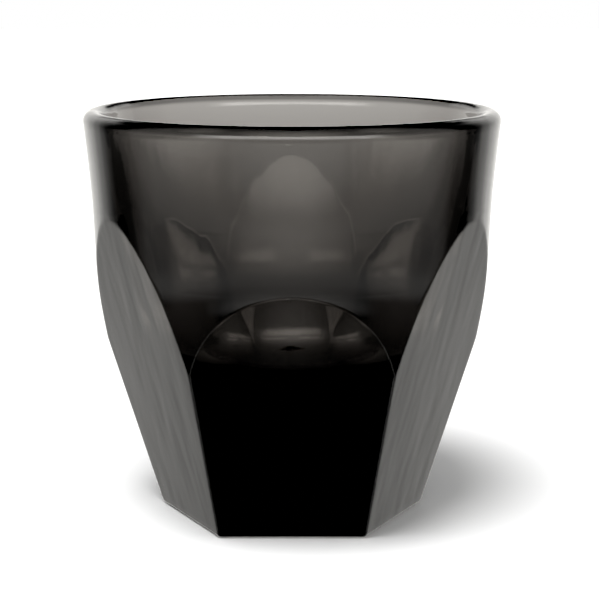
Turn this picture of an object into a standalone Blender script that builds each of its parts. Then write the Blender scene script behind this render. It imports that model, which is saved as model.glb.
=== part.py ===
"""Faceted whiskey tumbler in smoked glass: one moulded piece.

A round, slightly flared upper body runs down into a six-sided foot. Three tall facets alternate with three
short ones, each with an arched top where its face leaves the round wall. The cup inside is round.

Frame: the origin is at the middle of the foot, on the surface it stands on, +Z is up, and the middle of a
short facet faces -Y. Lengths are in metres.
"""

import math

import bmesh
import bpy
from mathutils import Matrix

MM = 0.001

# Driving dimensions.
RIM_RADIUS = 42.5 * MM  # outside of the lip, at its widest
HEIGHT = 84.1 * MM
WALL_AT_LIP = 4.1 * MM
TALL_FACE_AT_FOOT = 24.3 * MM  # axis to the face of a tall facet, at the foot
TALL_FACE_SLOPE = 0.260  # how far that face moves out per unit of height
SHORT_FACE_AT_FOOT = 23.1 * MM
SHORT_FACE_SLOPE = 0.289
SHORT_FACE_SCOOP = 0.0072 / MM  # how fast a short face curves out above the points between the arches
POINT_HEIGHT = 35.0 * MM  # where neighbouring arches meet in a point
FOOT_CHAMFER = 0.9 * MM

# The turned outside as (height, radius), from under the foot to just below the lip. The facets cut away its
# lower part, so down there it only has to be wide enough.
OUTSIDE = [
    (0.0, 33.0 * MM),
    (35.0 * MM, 38.6 * MM),
    (44.0 * MM, 39.8 * MM),
    (54.0 * MM, 40.55 * MM),
    (64.0 * MM, 40.95 * MM),
    (73.0 * MM, 41.6 * MM),
]
# The cup inside as (height, radius), from just below the lip down to the middle of its floor.
INSIDE = [
    (76.0 * MM, 36.9 * MM),
    (66.0 * MM, 34.75 * MM),
    (56.0 * MM, 32.6 * MM),
    (46.0 * MM, 30.4 * MM),
    (38.5 * MM, 28.1 * MM),
    (33.7 * MM, 23.3 * MM),
    (30.0 * MM, 16.2 * MM),
    (27.6 * MM, 7.9 * MM),
    (26.8 * MM, 0.0),
]

TURN_STEPS = 60  # straight sides of each turned circle, a multiple of the six facets
LIP_STEPS = 8
OUTSIDE_STEPS = 12
INSIDE_STEPS = 16
SCOOP_STEPS = 5

CUTTER_REACH = 60.0 * MM  # how far out a facet's cutter runs
CUTTER_WIDTH = 90.0 * MM
CUTTER_TOP = 72.0 * MM
CUTTER_BOTTOM = -5.0 * MM

LIP_RADIUS = WALL_AT_LIP / 2
LIP_CENTRE = (HEIGHT - LIP_RADIUS, RIM_RADIUS - LIP_RADIUS)


def clear_scene():
    for item in list(bpy.data.objects):
        bpy.data.objects.remove(item)


def smooth_curve(stations, steps):
    """Points on a natural cubic spline through (height, radius) stations, evenly spaced by chord length."""
    chords = [0.0]
    for (z0, r0), (z1, r1) in zip(stations, stations[1:]):
        chords.append(chords[-1] + math.hypot(z1 - z0, r1 - r0))
    curves = [natural_spline(chords, [point[axis] for point in stations]) for axis in (0, 1)]
    length = chords[-1]
    return [tuple(curve(length * i / steps) for curve in curves) for i in range(steps + 1)]


def natural_spline(knots, values):
    """The natural cubic spline through values at knots, as a function."""
    count = len(knots)
    gaps = [b - a for a, b in zip(knots, knots[1:])]
    diagonal = [1.0] * count
    bend = [0.0] * count
    upper = [0.0] * count
    for i in range(1, count - 1):
        rise = (values[i + 1] - values[i]) / gaps[i] - (values[i] - values[i - 1]) / gaps[i - 1]
        diagonal[i] = 2 * (gaps[i - 1] + gaps[i]) - gaps[i - 1] * upper[i - 1]
        upper[i] = gaps[i] / diagonal[i]
        bend[i] = (6 * rise - gaps[i - 1] * bend[i - 1]) / diagonal[i]
    for i in range(count - 2, 0, -1):
        bend[i] -= upper[i] * bend[i + 1]

    def value(place):
        i = max(j for j in range(count - 1) if knots[j] <= place or j == 0)
        gap, before, after = gaps[i], place - knots[i], knots[i + 1] - place
        cubic = (bend[i] * after**3 + bend[i + 1] * before**3) / (6 * gap)
        low = (values[i] / gap - bend[i] * gap / 6) * after
        high = (values[i + 1] / gap - bend[i + 1] * gap / 6) * before
        return cubic + low + high

    return value


def lip_arc():
    """The rounded lip as (height, radius), from its outer side over the top to its inner side."""
    height, radius = LIP_CENTRE
    angles = [math.pi * i / LIP_STEPS for i in range(LIP_STEPS + 1)]
    return [(height + LIP_RADIUS * math.sin(a), radius + LIP_RADIUS * math.cos(a)) for a in angles]


def turned_profile():
    """Half the section of the uncut blank, from the cup's floor up, over the lip and down to the foot."""
    lip = lip_arc()
    inside = smooth_curve([lip[-1]] + INSIDE, INSIDE_STEPS)
    outside = smooth_curve(OUTSIDE + [lip[0]], OUTSIDE_STEPS)
    return inside[::-1] + lip[::-1][1:-1] + outside[::-1] + [(0.0, 0.0)]


def turned_blank(name):
    """The blank as a solid of revolution about the Z axis, before its facets are cut."""
    mesh = bpy.data.meshes.new(name)
    points = [(max(radius, 0.0), 0.0, height) for height, radius in turned_profile()]
    mesh.from_pydata(points, [(i, i + 1) for i in range(len(points) - 1)], [])
    blank = bpy.data.objects.new(name, mesh)
    bpy.context.scene.collection.objects.link(blank)
    turn = blank.modifiers.new("turned", "SCREW")
    turn.steps = TURN_STEPS
    turn.render_steps = TURN_STEPS
    turn.use_merge_vertices = True
    turn.merge_threshold = 0.00002
    return blank


def tall_face():
    """The side view of a tall facet as (distance from the axis, height), from below the foot upwards."""
    heights = (CUTTER_BOTTOM, CUTTER_TOP)
    return [(TALL_FACE_AT_FOOT + TALL_FACE_SLOPE * z, z) for z in heights]


def short_face():
    """The side view of a short facet: straight up to the points, then curving gently outwards."""
    step = (CUTTER_TOP - POINT_HEIGHT) / SCOOP_STEPS
    heights = [CUTTER_BOTTOM] + [POINT_HEIGHT + step * i for i in range(SCOOP_STEPS + 1)]
    rise = [max(z - POINT_HEIGHT, 0.0) for z in heights]
    return [
        (SHORT_FACE_AT_FOOT + SHORT_FACE_SLOPE * z + SHORT_FACE_SCOOP * above**2, z)
        for z, above in zip(heights, rise)
    ]


def foot_chamfer(face_at_foot):
    """The side view of the small chamfer under a facet."""
    return [
        (face_at_foot - FOOT_CHAMFER + CUTTER_BOTTOM, CUTTER_BOTTOM),
        (face_at_foot - FOOT_CHAMFER - CUTTER_BOTTOM, -CUTTER_BOTTOM),
    ]


def facet_cutter(name, side_view, turn):
    """A hidden block whose inner side is the facet, with its middle at the angle turn from -Y."""
    outline = side_view + [(CUTTER_REACH, side_view[-1][1]), (CUTTER_REACH, side_view[0][1])]
    shape = bmesh.new()
    corners = [shape.verts.new((-CUTTER_WIDTH / 2, -out, height)) for out, height in outline]
    side = shape.faces.new(corners)
    grown = bmesh.ops.extrude_face_region(shape, geom=[side])
    moved = [item for item in grown["geom"] if isinstance(item, bmesh.types.BMVert)]
    bmesh.ops.translate(shape, vec=(CUTTER_WIDTH, 0.0, 0.0), verts=moved)
    bmesh.ops.transform(shape, matrix=Matrix.Rotation(turn, 4, "Z"), verts=shape.verts)
    bmesh.ops.recalc_face_normals(shape, faces=shape.faces)
    mesh = bpy.data.meshes.new(name)
    shape.to_mesh(mesh)
    shape.free()
    cutter = bpy.data.objects.new(name, mesh)
    bpy.context.scene.collection.objects.link(cutter)
    cutter.hide_render = True
    cutter.display_type = "WIRE"
    return cutter


def cut_away(solid, cutter):
    cut = solid.modifiers.new(cutter.name, "BOOLEAN")
    cut.operation = "DIFFERENCE"
    cut.solver = "EXACT"
    cut.object = cutter


def cut_facets(solid):
    """Cuts the six facets and their chamfers, short ones at 0, 120 and 240 degrees from -Y."""
    for side in range(6):
        turn = math.radians(60 * side)
        if side % 2 == 0:
            face, foot = short_face(), SHORT_FACE_AT_FOOT
        else:
            face, foot = tall_face(), TALL_FACE_AT_FOOT
        cut_away(solid, facet_cutter(f"facet_cutter_{side}", face, turn))
        cut_away(solid, facet_cutter(f"chamfer_cutter_{side}", foot_chamfer(foot), turn))


def smoked_glass():
    """Dark neutral glass, moulded and fire polished."""
    material = bpy.data.materials.new("smoked_glass")
    material.use_nodes = True
    shader = material.node_tree.nodes["Principled BSDF"]
    shader.inputs["Base Color"].default_value = (0.055, 0.053, 0.050, 1.0)
    shader.inputs["Roughness"].default_value = 0.03
    shader.inputs["Metallic"].default_value = 0.0
    shader.inputs["IOR"].default_value = 1.5
    return material


def main():
    clear_scene()
    tumbler = turned_blank("glass_body")
    tumbler.data.materials.append(smoked_glass())
    cut_facets(tumbler)


main()
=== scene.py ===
"""Faceted whiskey tumbler in smoked glass, on a pale studio table.

Laid out as an add-on: the settings hold the sizes and colours, one operator makes the glass and one the
studio, and the panel lists them. Lengths are in metres. The origin is at the middle of the foot, +Z is up
and the middle of a short facet faces -Y.
"""

import math

import bpy
import numpy as np
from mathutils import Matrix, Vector


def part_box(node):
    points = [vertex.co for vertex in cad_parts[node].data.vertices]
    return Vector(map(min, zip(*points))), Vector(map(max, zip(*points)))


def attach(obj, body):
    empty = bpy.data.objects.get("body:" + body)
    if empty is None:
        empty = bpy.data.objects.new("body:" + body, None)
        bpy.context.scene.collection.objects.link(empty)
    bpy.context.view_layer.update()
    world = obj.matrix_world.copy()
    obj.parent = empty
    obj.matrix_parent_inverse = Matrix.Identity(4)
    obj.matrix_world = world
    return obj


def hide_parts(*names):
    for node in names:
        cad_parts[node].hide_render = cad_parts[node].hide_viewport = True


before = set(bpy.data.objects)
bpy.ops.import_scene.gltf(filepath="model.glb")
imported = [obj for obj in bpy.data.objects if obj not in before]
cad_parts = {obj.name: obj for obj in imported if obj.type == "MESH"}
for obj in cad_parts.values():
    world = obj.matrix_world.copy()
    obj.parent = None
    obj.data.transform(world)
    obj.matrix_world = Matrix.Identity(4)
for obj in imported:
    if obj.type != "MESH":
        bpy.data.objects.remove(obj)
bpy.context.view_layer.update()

bl_info = {
    "name": "Faceted whiskey tumbler",
    "version": (1, 0, 0),
    "blender": (4, 5, 0),
    "location": "3D View > Sidebar > Tumbler",
    "description": "Makes a faceted tumbler in smoked glass and the studio it stands in",
    "category": "Add Mesh",
}

MM = 0.001
BODY_LOW, BODY_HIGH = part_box("glass_body")

# The turned outside as (height, radius), from under the foot to just below the lip. The facets take away its
# lower part, so down there it only has to be wide enough.
OUTSIDE = [
    (0.0, 33.0 * MM),
    (35.0 * MM, 38.6 * MM),
    (44.0 * MM, 39.8 * MM),
    (54.0 * MM, 40.55 * MM),
    (64.0 * MM, 40.95 * MM),
    (73.0 * MM, 41.6 * MM),
]
# The cup inside as (height, radius), from just below the lip down to the middle of its floor.
INSIDE = [
    (76.0 * MM, 36.9 * MM),
    (66.0 * MM, 34.75 * MM),
    (56.0 * MM, 32.6 * MM),
    (46.0 * MM, 30.4 * MM),
    (38.5 * MM, 28.1 * MM),
    (33.7 * MM, 23.3 * MM),
    (30.0 * MM, 16.2 * MM),
    (27.6 * MM, 7.9 * MM),
    (26.8 * MM, 0.0),
]

FACE_COLUMNS = 12  # mesh columns from the middle of a facet to its edge
FACE_EASE = 1.7  # how much those columns gather towards the edge
RIB_COLUMNS = 24  # mesh columns across the round wall between two arches
SPREAD_ABOVE_ARCH = math.radians(15.0)  # how far a facet's columns open again between its top and the lip
FOOT_ROWS = 5  # mesh rows around the edge of the foot
POINT_ROWS = 30  # from there up to the points between the arches
SHORT_TOP_ROWS = 38  # on to the tops of the short facets
TALL_TOP_ROWS = 32  # on to the tops of the tall facets
WALL_ROWS = 18  # on to the lip
LIP_ROWS = 16
INSIDE_ROWS = 104
FOOT_RING = 0.6  # radius of the ring of mesh points under the foot, as a share of the foot's
WELD = 0.03 * MM  # mesh points closer than this become one

WAVE_LENGTH = 6  # how many times as long as it is wide
STREAK_LENGTH = 30
WARM_WHITE = (1.0, 0.985, 0.95)  # the tent's cloth, linear
PLAIN_WHITE = (1.0, 1.0, 1.0, 1.0)  # behind the glass, as the camera sees it
TABLE_LIGHT = (0.4, 0.4, 0.4, 1.0)  # the world's even light on matt surfaces
ONE_WALL_CROSSINGS = 3.0  # a path that goes through more glass surfaces than this has crossed both walls

KEY_LIGHT_FROM = (-0.13, -0.22, 0.9)
KEY_LIGHT_SPREAD = 24  # degrees
KEY_LIGHT_STRENGTH = 2.9
SENSOR_WIDTH = 36.0
CAMERA_SHIFT = 0.0133  # sideways, as a share of the picture's width
CAMERA_CLIP = 0.01
TABLE_DROP = 0.1 * MM  # the table top lies this far under the foot


# ------------------------------------------------------------------------------------------------ settings


class TumblerSizes(bpy.types.PropertyGroup):
    """The sizes of the glass that a user would change."""

    rim_radius: bpy.props.FloatProperty(
        name="Rim radius",
        description="Outside of the lip, at its widest",
        default=BODY_HIGH.x,
        unit="LENGTH",
    )
    height: bpy.props.FloatProperty(
        name="Height",
        description="From the foot to the top of the lip",
        default=BODY_HIGH.z,
        unit="LENGTH",
    )
    wall_at_lip: bpy.props.FloatProperty(
        name="Wall at lip", description="Thickness of the rounded lip", default=4.1 * MM, unit="LENGTH"
    )
    tall_face_at_foot: bpy.props.FloatProperty(
        name="Tall facet at foot",
        description="From the axis to the face of a tall facet, at the foot",
        default=24.3 * MM,
        unit="LENGTH",
    )
    tall_face_slope: bpy.props.FloatProperty(
        name="Tall facet slope",
        description="How far a tall facet moves out per unit of height",
        default=0.260,
    )
    short_face_at_foot: bpy.props.FloatProperty(
        name="Short facet at foot",
        description="From the axis to the face of a short facet, at the foot",
        default=23.1 * MM,
        unit="LENGTH",
    )
    short_face_slope: bpy.props.FloatProperty(
        name="Short facet slope",
        description="How far a short facet moves out per unit of height",
        default=0.289,
    )
    short_face_scoop: bpy.props.FloatProperty(
        name="Short facet scoop",
        description="How fast a short facet curves out above the points, per metre",
        default=7.2,
    )
    point_height: bpy.props.FloatProperty(
        name="Point height",
        description="Where neighbouring arches meet in a point",
        default=35.0 * MM,
        unit="LENGTH",
    )
    edge_softness: bpy.props.FloatProperty(
        name="Edge softness",
        description="How far an arch line is rounded",
        default=0.15 * MM,
        unit="LENGTH",
    )
    foot_round: bpy.props.FloatProperty(
        name="Foot rounding",
        description="Radius of the edge around the foot",
        default=0.9 * MM,
        unit="LENGTH",
    )


class GlassFinish(bpy.types.PropertyGroup):
    """The colour and surface of the smoked glass."""

    smoke_colour: bpy.props.StringProperty(
        name="Smoke colour", description="What the glass lets through, as sRGB hex", default="#56493A"
    )
    smoke_depth: bpy.props.FloatProperty(
        name="Smoke depth", description="How strongly the glass absorbs light, per metre", default=240.0
    )
    refraction: bpy.props.FloatProperty(
        name="Refraction", description="Index of refraction of soda-lime glass", default=1.52
    )
    wave_width: bpy.props.FloatProperty(
        name="Wave width", description="Width of the mould's faint waves", default=7.0 * MM, unit="LENGTH"
    )
    wave_depth: bpy.props.FloatProperty(
        name="Wave depth", description="Height of those waves", default=0.015 * MM, unit="LENGTH"
    )
    streak_width: bpy.props.FloatProperty(
        name="Streak width",
        description="Width of the mould's polishing streaks",
        default=4.5 * MM,
        unit="LENGTH",
    )
    streak_depth: bpy.props.FloatProperty(
        name="Streak depth", description="Height of those streaks", default=0.08 * MM, unit="LENGTH"
    )


class StudioSetup(bpy.types.PropertyGroup):
    """The table and the camera."""

    table_size: bpy.props.FloatProperty(
        name="Table size", description="Side of the square table", default=6.0, unit="LENGTH"
    )
    table_colour: bpy.props.StringProperty(
        name="Table colour", description="Colour of the table top, as sRGB hex", default="#FFFFFF"
    )
    camera_distance: bpy.props.FloatProperty(
        name="Camera distance", description="From the axis, level", default=0.3261, unit="LENGTH"
    )
    camera_height: bpy.props.FloatProperty(
        name="Camera height", description="Above the table", default=0.1107, unit="LENGTH"
    )
    camera_tilt: bpy.props.FloatProperty(
        name="Camera tilt", description="Below level", default=math.radians(11.55), unit="ROTATION"
    )
    camera_lens: bpy.props.FloatProperty(
        name="Lens",
        description="Focal length on a 36 mm wide sensor",
        default=95.3,
        subtype="DISTANCE_CAMERA",
    )


# -------------------------------------------------------------------------------------------------- shapes


def natural_spline(knots, values):
    """The natural cubic spline through values at knots, as a function of an array."""
    knots, values = np.array(knots), np.array(values)
    gaps = np.diff(knots)
    rises = np.diff(values) / gaps
    count = len(knots)
    system = np.eye(count)
    bend = np.zeros(count)
    for i in range(1, count - 1):
        system[i, i - 1 : i + 2] = gaps[i - 1], 2 * (gaps[i - 1] + gaps[i]), gaps[i]
        bend[i] = 6 * (rises[i] - rises[i - 1])
    bend = np.linalg.solve(system, bend)

    def value(place):
        i = np.clip(np.searchsorted(knots, place) - 1, 0, count - 2)
        gap, before, after = gaps[i], place - knots[i], knots[i + 1] - place
        cubic = (bend[i] * after**3 + bend[i + 1] * before**3) / (6 * gap)
        low = (values[i] / gap - bend[i] * gap / 6) * after
        high = (values[i + 1] / gap - bend[i + 1] * gap / 6) * before
        return cubic + low + high

    return value


def lip_arc(sizes, steps):
    """The rounded lip as (height, radius), from its outer side over the top to its inner side."""
    round_radius = sizes.wall_at_lip / 2
    height, radius = sizes.height - round_radius, sizes.rim_radius - round_radius
    angles = [math.pi * i / steps for i in range(steps + 1)]
    return [(height + round_radius * math.sin(a), radius + round_radius * math.cos(a)) for a in angles]


def inside_points(sizes):
    """The cup from the lip's inner side to the middle of its floor, as (height, radius)."""
    stations = [lip_arc(sizes, 2)[-1]] + INSIDE
    chords = [0.0]
    for (z0, r0), (z1, r1) in zip(stations, stations[1:]):
        chords.append(chords[-1] + math.hypot(z1 - z0, r1 - r0))
    # The floor runs on past the axis to a mirrored station, so that its middle is smooth.
    places = chords + [2 * chords[-1] - chords[-2]]
    heights = natural_spline(places, [z for z, _ in stations] + [stations[-2][0]])
    radii = natural_spline(places, [r for _, r in stations] + [-stations[-2][1]])
    steps = np.linspace(0.0, chords[-1], INSIDE_ROWS + 1)
    return list(zip(heights(steps), np.maximum(radii(steps), 0.0)))


class Shape:
    """The outside of the glass as functions of height."""

    def __init__(self, sizes):
        self.sizes = sizes
        self.lip = lip_arc(sizes, LIP_ROWS)
        stations = OUTSIDE + [self.lip[0]]
        self.round_wall = natural_spline([z for z, _ in stations], [r for _, r in stations])
        self.point = self.crossing(lambda z: np.hypot(*self.rib_corner(z)), 20 * MM, 50 * MM)
        self.short_top = self.crossing(self.short_face, 40 * MM, 70 * MM)
        self.tall_top = self.crossing(self.tall_face, 50 * MM, 78 * MM)

    def tall_face(self, z):
        return self.sizes.tall_face_at_foot + self.sizes.tall_face_slope * z

    def short_face(self, z):
        above = np.maximum(z - self.sizes.point_height, 0.0)
        straight = self.sizes.short_face_at_foot + self.sizes.short_face_slope * z
        return straight + self.sizes.short_face_scoop * above**2

    def rib_corner(self, z):
        """Where a short and a tall face would meet, as (along the short face's normal, along the face)."""
        out = self.short_face(z)
        return out, (self.tall_face(z) - out / 2) / math.cos(math.radians(30))

    def crossing(self, reach, low, high):
        """The height between low and high where reach, a function of height, meets the round wall."""
        heights = np.linspace(low, high, 4001)
        signs = np.sign(self.round_wall(heights) - reach(heights))
        return float(heights[np.nonzero(signs[1:] != signs[:-1])[0][0]])

    def columns(self, z):
        """The angles of the mesh columns at a height, from the middle of a short face to that of a tall one.

        They follow the arch lines, so that each line is a row of mesh edges.
        """
        round_radius = float(self.round_wall(z))
        if z < self.point:
            out, along = self.rib_corner(z)
            short_edge = tall_edge = math.atan2(along, out)
        else:
            lip = self.lip[0][0]
            if z < self.short_top:
                short_edge = math.acos(min(1.0, self.short_face(z) / round_radius))
            else:
                rise = min(1.0, (z - self.short_top) / (lip - self.short_top))
                short_edge = SPREAD_ABOVE_ARCH * math.sqrt(rise)
            if z < self.tall_top:
                tall_edge = math.radians(60) - math.acos(min(1.0, self.tall_face(z) / round_radius))
            else:
                rise = min(1.0, (z - self.tall_top) / (lip - self.tall_top))
                tall_edge = math.radians(60) - SPREAD_ABOVE_ARCH * math.sqrt(rise)
        face = np.linspace(0, 1, FACE_COLUMNS + 1)
        rib = 0.5 - 0.5 * np.cos(math.pi * np.linspace(0, 1, RIB_COLUMNS + 1))
        short_part = short_edge * (1 - (1 - face) ** FACE_EASE)
        rib_part = short_edge + (tall_edge - short_edge) * rib
        tall_part = tall_edge + (math.radians(60) - tall_edge) * face**FACE_EASE
        return np.concatenate([short_part, rib_part[1:], tall_part[1:]])

    def radius(self, z, turn):
        """The outside radius at a height, for angles turn from the middle of a short face."""
        radius = np.full_like(turn, float(self.round_wall(z)))
        for face in (self.short_face(z) / np.cos(turn), self.tall_face(z) / np.cos(math.radians(60) - turn)):
            radius = softened_least(radius, face, self.sizes.edge_softness)
        return radius


def softened_least(a, b, softness):
    """The smaller of a and b, rounded where they are nearly equal."""
    share = np.clip(0.5 + 0.5 * (b - a) / softness, 0.0, 1.0)
    return b * (1 - share) + a * share - softness * share * (1 - share)


def stepped(low, high, count, ease=0.0):
    """Heights after low up to high, closer together at both ends as ease goes from 0 to 1."""
    even = np.linspace(0, 1, count + 1)[1:]
    eased = 0.5 - 0.5 * np.cos(math.pi * even)
    return [low + (high - low) * t for t in even * (1 - ease) + eased * ease]


def outline(sizes, shape):
    """Half the section of the uncut glass as (radius, height, inset), from the foot to the middle of the cup.

    The inset is how far the rounding of the foot draws a point in from the faces.
    """
    foot = sizes.foot_round
    rounding = [math.pi / 2 * i / FOOT_ROWS for i in range(FOOT_ROWS + 1)]
    wall = [(foot * (1 - math.cos(a)), foot * (1 - math.sin(a))) for a in rounding]
    heights = stepped(foot, shape.point, POINT_ROWS)
    heights += stepped(shape.point, shape.short_top, SHORT_TOP_ROWS, 1.0)
    heights += stepped(shape.short_top, shape.tall_top, TALL_TOP_ROWS, 1.0)
    heights += stepped(shape.tall_top, shape.lip[0][0], WALL_ROWS)
    wall += [(z, 0.0) for z in heights]
    outside = [(float(shape.round_wall(z)) - inset, z, inset) for z, inset in wall]
    lip = [(r, z, 0.0) for z, r in shape.lip[1:]]
    cup = [(r, z, 0.0) for z, r in inside_points(sizes)[1:]]
    return outside, lip + cup


# ------------------------------------------------------------------------------------------------ modelling


def deselect_all():
    if bpy.context.object and bpy.context.object.mode != "OBJECT":
        bpy.ops.object.mode_set(mode="OBJECT")
    bpy.ops.object.select_all(action="DESELECT")


def draw_outline(points):
    """A line of mesh edges through points in the XZ plane, drawn by extruding one point to the next."""
    deselect_all()
    bpy.ops.mesh.primitive_plane_add(size=MM, location=(0.0, 0.0, 0.0))
    bpy.ops.object.mode_set(mode="EDIT")
    bpy.ops.mesh.merge(type="CENTER")
    at = Vector((0.0, 0.0, 0.0))
    for radius, height in points:
        step = Vector((radius, 0.0, height)) - at
        if step.length < 1e-9:
            continue
        bpy.ops.mesh.extrude_region_move(TRANSFORM_OT_translate={"value": step})
        at += step
    bpy.ops.object.mode_set(mode="OBJECT")
    return bpy.context.object


def turn_outline(piece, columns):
    """Spins the drawn line once around the Z axis and welds the seam and the two ends on the axis."""
    bpy.ops.object.mode_set(mode="EDIT")
    bpy.ops.mesh.select_all(action="SELECT")
    bpy.ops.mesh.spin(steps=columns, angle=2 * math.pi, center=(0.0, 0.0, 0.0), axis=(0.0, 0.0, 1.0))
    bpy.ops.mesh.select_all(action="SELECT")
    bpy.ops.mesh.remove_doubles(threshold=0.001 * MM)
    bpy.ops.object.mode_set(mode="OBJECT")


def cut_facets(piece, shape, outside, rest):
    """Moves each turned point onto its facet, on mesh columns that follow the arch lines."""
    count = len(piece.data.vertices)
    places = np.empty(count * 3)
    piece.data.vertices.foreach_get("co", places)
    places = places.reshape(-1, 3)
    radii, heights = np.hypot(places[:, 0], places[:, 1]), places[:, 2]
    rows = outside + rest
    drawn = np.array([(r, z) for r, z, _ in rows])
    half = FACE_COLUMNS * 2 + RIB_COLUMNS
    lip = shape.lip[0][0]
    angles, reach = [], []
    for number, (_, z, inset) in enumerate(rows):
        turn = shape.columns(z if number < len(outside) else lip)
        angles.append(turn)
        reach.append(shape.radius(z, turn) - inset if number < len(outside) else None)
    nearest = np.empty(count, int)
    for start in range(0, count, 4000):
        part = slice(start, start + 4000)
        gap = (radii[part, None] - drawn[None, :, 0]) ** 2 + (heights[part, None] - drawn[None, :, 1]) ** 2
        nearest[part] = gap.argmin(axis=1)
    step = 2 * math.pi / (6 * half)
    turned = np.arctan2(places[:, 0], -places[:, 1]) % (2 * math.pi)
    column = np.rint(turned / step).astype(int) % (6 * half)
    sector, within = np.divmod(column, 2 * half)
    mirrored = within > half
    within = np.where(mirrored, 2 * half - within, within)
    for i in range(count):
        if radii[i] < 0.01 * MM:
            continue
        turn = angles[nearest[i]][within[i]]
        radius = radii[i] if reach[nearest[i]] is None else reach[nearest[i]][within[i]]
        around = sector[i] * math.radians(120) + (math.radians(120) - turn if mirrored[i] else turn)
        places[i, 0], places[i, 1] = radius * math.sin(around), -radius * math.cos(around)
    piece.data.vertices.foreach_set("co", places.ravel())
    piece.data.update()


def close_and_smooth(piece):
    bpy.ops.object.mode_set(mode="EDIT")
    bpy.ops.mesh.select_all(action="SELECT")
    bpy.ops.mesh.remove_doubles(threshold=WELD)
    bpy.ops.mesh.dissolve_degenerate(threshold=0.001 * MM)
    bpy.ops.mesh.normals_make_consistent(inside=False)
    bpy.ops.object.mode_set(mode="OBJECT")
    bpy.ops.object.shade_smooth()


# ------------------------------------------------------------------------------------------------ materials


def linear(colour):
    """A colour given as sRGB hex, as linear red, green, blue and alpha."""
    channels = [int(colour[i : i + 2], 16) / 255 for i in (1, 3, 5)]
    return tuple(c / 12.92 if c <= 0.04045 else ((c + 0.055) / 1.055) ** 2.4 for c in channels) + (1.0,)


def add_node(tree, kind, settings=None, links=None):
    """Adds a node, sets its properties and inputs by name, and links its inputs by name."""
    node = tree.nodes.new(kind)
    for name, value in (settings or {}).items():
        if isinstance(name, str) and hasattr(node, name):
            setattr(node, name, value)
        else:
            node.inputs[name].default_value = value
    for name, source in (links or {}).items():
        tree.links.new(source, node.inputs[name])
    return node


def smoked_glass(finish):
    """Soda-lime glass, smoked grey all through, pressed in a polished mould and fire polished.

    Pressing gives a hard, clean gloss with faint upright waves and the streaks of the mould's polishing. The
    smoke is in the glass itself, so thick parts are nearly black and thin ones a clear grey.
    """
    material = bpy.data.materials.new("smoked soda-lime glass, pressed and fire polished")
    material.use_nodes = True
    tree = material.node_tree
    tree.nodes.clear()
    place = add_node(tree, "ShaderNodeTexCoord")
    per_wave, per_streak = 1.0 / finish.wave_width, 1.0 / finish.streak_width
    soft_noise = {"Scale": 1.0, "Detail": 1.0, "Roughness": 0.4}
    # Waves and streaks both run down the glass.
    drawn = add_node(
        tree,
        "ShaderNodeMapping",
        {"Scale": (per_wave, per_wave, per_wave / WAVE_LENGTH)},
        {"Vector": place.outputs["Object"]},
    )
    waves = add_node(tree, "ShaderNodeTexNoise", soft_noise, {"Vector": drawn.outputs["Vector"]})
    wiped = add_node(
        tree,
        "ShaderNodeMapping",
        {"Scale": (per_streak, per_streak, per_streak / STREAK_LENGTH)},
        {"Vector": place.outputs["Object"]},
    )
    streaks = add_node(tree, "ShaderNodeTexNoise", soft_noise, {"Vector": wiped.outputs["Vector"]})
    relief = add_node(
        tree,
        "ShaderNodeBump",
        {"Strength": 1.0, "Distance": finish.wave_depth},
        {"Height": waves.outputs["Fac"]},
    )
    relief = add_node(
        tree,
        "ShaderNodeBump",
        {"Strength": 1.0, "Distance": finish.streak_depth},
        {"Height": streaks.outputs["Fac"], "Normal": relief.outputs["Normal"]},
    )
    glass = add_node(
        tree,
        "ShaderNodeBsdfPrincipled",
        {
            "Base Color": (1.0, 1.0, 1.0, 1.0),
            "Roughness": 0.0,
            "IOR": finish.refraction,
            "Transmission Weight": 1.0,
        },
        {"Normal": relief.outputs["Normal"]},
    )
    smoke = add_node(
        tree,
        "ShaderNodeVolumeAbsorption",
        {"Color": linear(finish.smoke_colour), "Density": finish.smoke_depth},
    )
    output = add_node(tree, "ShaderNodeOutputMaterial")
    tree.links.new(glass.outputs["BSDF"], output.inputs["Surface"])
    tree.links.new(smoke.outputs["Volume"], output.inputs["Volume"])
    return material


# --------------------------------------------------------------------------------------------------- studio


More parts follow.
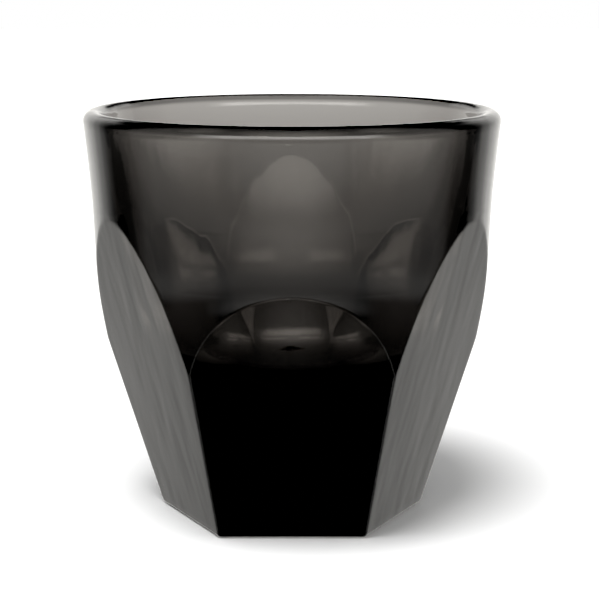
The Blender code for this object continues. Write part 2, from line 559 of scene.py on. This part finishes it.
class LightTent:
    """Light by direction, as white cloth panels on a dim surround and black flags that take light away.

    Angles are in degrees: around is left or right of straight behind the glass, so 180 is behind the camera,
    and up is above level. A panel lists for each the pairs (dark at, full at) over which it fades. Nothing
    stops a flag from taking away more light than is there.
    """

    def __init__(self, tree, surround):
        self.tree = tree
        place = add_node(tree, "ShaderNodeTexCoord")
        axes = add_node(tree, "ShaderNodeSeparateXYZ", None, {"Vector": place.outputs["Generated"]})
        turn = add_node(
            tree, "ShaderNodeMath", {"operation": "ARCTAN2"}, {0: axes.outputs["X"], 1: axes.outputs["Y"]}
        )
        aside = add_node(tree, "ShaderNodeMath", {"operation": "ABSOLUTE"}, {0: turn.outputs["Value"]})
        rise = add_node(tree, "ShaderNodeMath", {"operation": "ARCSINE"}, {0: axes.outputs["Z"]})
        self.around = add_node(tree, "ShaderNodeMath", {"operation": "DEGREES"}, {0: aside.outputs["Value"]})
        self.up = add_node(tree, "ShaderNodeMath", {"operation": "DEGREES"}, {0: rise.outputs["Value"]})
        self.light = add_node(tree, "ShaderNodeMath", {"operation": "ADD", 0: surround, 1: 0.0})

    def panel(self, strength, around=(), up=()):
        """Adds a panel, or with a negative strength a flag."""
        cloth = add_node(self.tree, "ShaderNodeMath", {"operation": "ADD", 0: strength, 1: 0.0})
        for along, fades in ((self.around, around), (self.up, up)):
            for dark, full in fades:
                fade = add_node(
                    self.tree,
                    "ShaderNodeMapRange",
                    {"interpolation_type": "SMOOTHSTEP", "From Min": dark, "From Max": full},
                    {"Value": along.outputs["Value"]},
                )
                cloth = add_node(
                    self.tree,
                    "ShaderNodeMath",
                    {"operation": "MULTIPLY"},
                    {0: cloth.outputs["Value"], 1: fade.outputs["Result"]},
                )
        self.light = add_node(
            self.tree,
            "ShaderNodeMath",
            {"operation": "ADD"},
            {0: self.light.outputs["Value"], 1: cloth.outputs["Value"]},
        )


def light_tent():
    """The world, as three tents: for what the glass mirrors, what shows through one wall and through both.

    The camera sees plain white behind the glass, and matt surfaces get an even light.
    """
    world = bpy.data.worlds.new("light tent")
    world.use_nodes = True
    tree = world.node_tree
    tree.nodes.clear()

    mirrored = LightTent(tree, 0.0)
    # Behind the glass: the main cloth, a brighter middle and a black flag above it.
    mirrored.panel(0.95, around=[(64, 40)], up=[(-46, -21), (36, 28)])
    mirrored.panel(0.35, around=[(44, 32)], up=[(-16, -11), (36, 28)])
    mirrored.panel(-1.3, around=[(24, 12)], up=[(14, 20)])
    # From the sides round to behind the camera: a dim wall and a strip along its lower edge.
    mirrored.panel(0.25, around=[(78, 92)], up=[(-18, -15.5), (60, 45)])
    mirrored.panel(0.2, around=[(88, 100)], up=[(-18, -15.5), (-13, -15)])
    # On the camera's side: a bright box at the height of the glass, a thin strip under it and low side cards.
    mirrored.panel(4.5, around=[(120, 145)], up=[(-9, -4), (20, 15)])
    mirrored.panel(0.8, around=[(125, 165)], up=[(-16, -18.5), (-20.5, -19)])
    mirrored.panel(0.45, around=[(88, 108), (155, 135)], up=[(-58, -46), (-28, -36)])

    # For both of these: a brighter room at the sides and the front, cloth low behind the glass, and flags.
    one_wall = LightTent(tree, 0.45)
    one_wall.panel(0.5, around=[(65, 90)])
    one_wall.panel(0.55, around=[(30, 12)], up=[(-26, -10), (-3, -8)])
    one_wall.panel(-0.35, around=[(25, 36), (62, 52)], up=[(-34, -28), (-12, -16)])

    both_walls = LightTent(tree, 0.45)
    both_walls.panel(0.8, around=[(65, 90)])
    both_walls.panel(0.7, around=[(28, 16)], up=[(-32, -13), (-4, -8)])
    both_walls.panel(0.7, around=[(22, 15)], up=[(-12.5, -9.5), (-4, -7)])
    both_walls.panel(0.6, around=[(3, 8), (24, 14)], up=[(-19.5, -17), (-13.5, -15.5)])
    both_walls.panel(-0.35, around=[(25, 36), (62, 52)], up=[(-34, -28), (-12, -16)])

    ray = add_node(tree, "ShaderNodeLightPath")
    crossed = add_node(
        tree,
        "ShaderNodeMath",
        {"operation": "GREATER_THAN", 1: ONE_WALL_CROSSINGS},
        {0: ray.outputs["Transmission Depth"]},
    )
    through = add_node(
        tree,
        "ShaderNodeMix",
        {"data_type": "FLOAT"},
        {
            0: crossed.outputs["Value"],
            2: one_wall.light.outputs["Value"],
            3: both_walls.light.outputs["Value"],
        },
    )
    tent = add_node(
        tree,
        "ShaderNodeMix",
        {"data_type": "FLOAT"},
        {0: ray.outputs["Is Transmission Ray"], 2: mirrored.light.outputs["Value"], 3: through.outputs[0]},
    )
    cloth = add_node(
        tree, "ShaderNodeVectorMath", {"operation": "SCALE", 0: WARM_WHITE}, {"Scale": tent.outputs[0]}
    )
    lit = add_node(
        tree,
        "ShaderNodeMix",
        {"data_type": "RGBA", 7: TABLE_LIGHT},
        {0: ray.outputs["Is Diffuse Ray"], 6: cloth.outputs["Vector"]},
    )
    shown = add_node(
        tree,
        "ShaderNodeMix",
        {"data_type": "RGBA", 7: PLAIN_WHITE},
        {0: ray.outputs["Is Camera Ray"], 6: lit.outputs[2]},
    )
    sky = add_node(tree, "ShaderNodeBackground", {"Strength": 1.0}, {"Color": shown.outputs[2]})
    add_node(tree, "ShaderNodeOutputWorld", None, {"Surface": sky.outputs["Background"]})
    return world


def table_finish(setup):
    """White matt acrylic sheet: an even white without a gloss."""
    material = bpy.data.materials.new("white matt acrylic sheet")
    material.use_nodes = True
    shader = material.node_tree.nodes["Principled BSDF"]
    shader.inputs["Base Color"].default_value = linear(setup.table_colour)
    shader.inputs["Roughness"].default_value = 0.6
    shader.inputs["Specular IOR Level"].default_value = 0.0
    return material


def key_light(name, direction, spread, strength):
    """An even key light from a direction, as wide in degrees as spread."""
    bpy.ops.object.light_add(type="SUN", location=direction)
    lamp = bpy.context.object
    lamp.name = name
    lamp.data.angle = math.radians(spread)
    lamp.data.energy = strength
    lamp.rotation_euler = (-Vector(direction)).to_track_quat("-Z", "Y").to_euler()
    lamp.visible_camera = lamp.visible_glossy = lamp.visible_transmission = False
    return lamp


# ------------------------------------------------------------------------------------------------ operators


class TUMBLER_OT_glass(bpy.types.Operator):
    """Makes the glass: turned, cut into facets, lip and foot rounded"""

    bl_idname = "tumbler.glass"
    bl_label = "Pressed glass"

    def execute(self, context):
        sizes = context.scene.tumbler_sizes
        shape = Shape(sizes)
        outside, rest = outline(sizes, shape)
        points = [(0.0, 0.0), (outside[0][0] * FOOT_RING, 0.0)] + [(r, z) for r, z, _ in outside + rest]
        piece = draw_outline(points)
        piece.name = piece.data.name = "tumbler_glass"
        turn_outline(piece, 6 * (FACE_COLUMNS * 2 + RIB_COLUMNS))
        cut_facets(piece, shape, outside, rest)
        close_and_smooth(piece)
        piece.data.materials.append(smoked_glass(context.scene.glass_finish))
        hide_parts("glass_body")
        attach(piece, "root")
        return {"FINISHED"}


class TUMBLER_OT_studio(bpy.types.Operator):
    """Makes the table, the light tent, the lamp and the camera"""

    bl_idname = "tumbler.studio"
    bl_label = "Studio"

    def execute(self, context):
        setup = context.scene.studio_setup
        deselect_all()
        bpy.ops.mesh.primitive_plane_add(size=setup.table_size, location=(0.0, 0.0, -TABLE_DROP))
        table = context.object
        table.name = table.data.name = "table_top"
        table.data.materials.append(table_finish(setup))
        table.visible_glossy = table.visible_transmission = False
        context.scene.world = light_tent()
        key_light("key_light", KEY_LIGHT_FROM, KEY_LIGHT_SPREAD, KEY_LIGHT_STRENGTH)
        lens = bpy.data.cameras.new("camera")
        lens.lens = setup.camera_lens
        lens.sensor_width = SENSOR_WIDTH
        lens.shift_x = CAMERA_SHIFT
        lens.clip_start = CAMERA_CLIP
        camera = bpy.data.objects.new("camera", lens)
        context.scene.collection.objects.link(camera)
        camera.location = (0.0, -setup.camera_distance, setup.camera_height)
        camera.rotation_euler = (math.pi / 2 - setup.camera_tilt, 0.0, 0.0)
        context.scene.camera = camera
        context.scene.view_settings.view_transform = "Standard"
        cycles = context.scene.cycles
        cycles.max_bounces = cycles.transmission_bounces = 24
        cycles.glossy_bounces = 12
        return {"FINISHED"}


class TUMBLER_PT_panel(bpy.types.Panel):
    """Lists the settings and the two operators"""

    bl_idname = "TUMBLER_PT_panel"
    bl_label = "Faceted tumbler"
    bl_space_type = "VIEW_3D"
    bl_region_type = "UI"
    bl_category = "Tumbler"

    def draw(self, context):
        for owner, operator in (
            (context.scene.tumbler_sizes, TUMBLER_OT_glass),
            (context.scene.glass_finish, None),
            (context.scene.studio_setup, TUMBLER_OT_studio),
        ):
            box = self.layout.box()
            for name in owner.__annotations__:
                box.prop(owner, name)
            if operator:
                box.operator(operator.bl_idname)


CLASSES = (TumblerSizes, GlassFinish, StudioSetup, TUMBLER_OT_glass, TUMBLER_OT_studio, TUMBLER_PT_panel)
SETTINGS = {"tumbler_sizes": TumblerSizes, "glass_finish": GlassFinish, "studio_setup": StudioSetup}


def register():
    for kind in CLASSES:
        bpy.utils.register_class(kind)
    for name, kind in SETTINGS.items():
        setattr(bpy.types.Scene, name, bpy.props.PointerProperty(type=kind))


def unregister():
    for name in SETTINGS:
        delattr(bpy.types.Scene, name)
    for kind in reversed(CLASSES):
        bpy.utils.unregister_class(kind)


def main():
    register()
    bpy.ops.tumbler.glass()
    bpy.ops.tumbler.studio()


if __name__ == "__main__":
    main()
